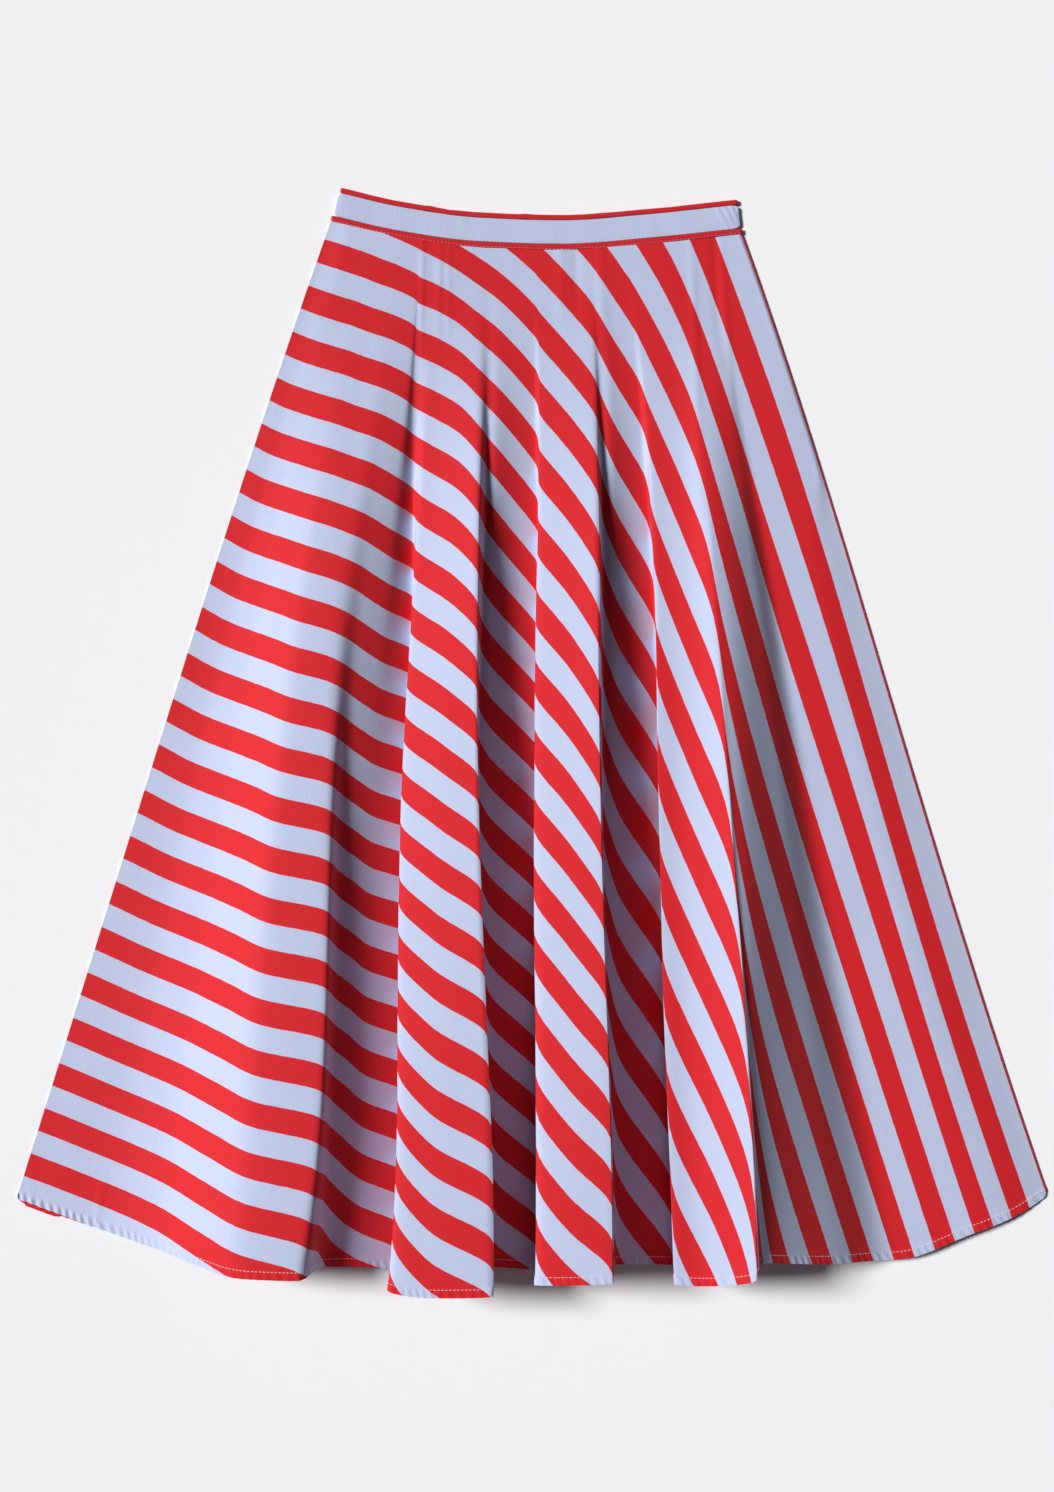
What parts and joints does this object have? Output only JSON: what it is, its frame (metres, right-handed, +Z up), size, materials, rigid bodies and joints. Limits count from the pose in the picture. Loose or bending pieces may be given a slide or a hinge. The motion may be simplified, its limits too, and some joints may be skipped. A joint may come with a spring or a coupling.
{
  "type": "circle skirt",
  "caption": "Midi circle skirt with a narrow waistband and piping, laid flat face up, its flared folds spreading to a curved hem.",
  "frame": {"origin": "on the surface the skirt lies on, under the middle of its bounding box", "axes": "+Y from the hem towards the waist, +Z up out of the front, +X towards the side seam with the zip"},
  "size_m": [0.8541, 0.9025, 0.0793],
  "materials": {
    "striped_cotton": "red and white stripes 20 mm wide, plain-woven cotton, matt",
    "white_cotton": "plain-woven white cotton, matt",
    "red_piping": "plain-woven red cotton, matt",
    "zip_tape": "woven polyester tape with a nylon coil"
  },
  "bodies": {
    "root": {"front_panel": "striped_cotton", "back_panel": "striped_cotton", "waistband_front": "white_cotton", "waistband_back": "white_cotton", "top_piping_front": "red_piping", "top_piping_back": "red_piping", "lower_piping_front": "red_piping", "lower_piping_back": "red_piping", "side_zip": "zip_tape"}
  },
  "joints": []
}
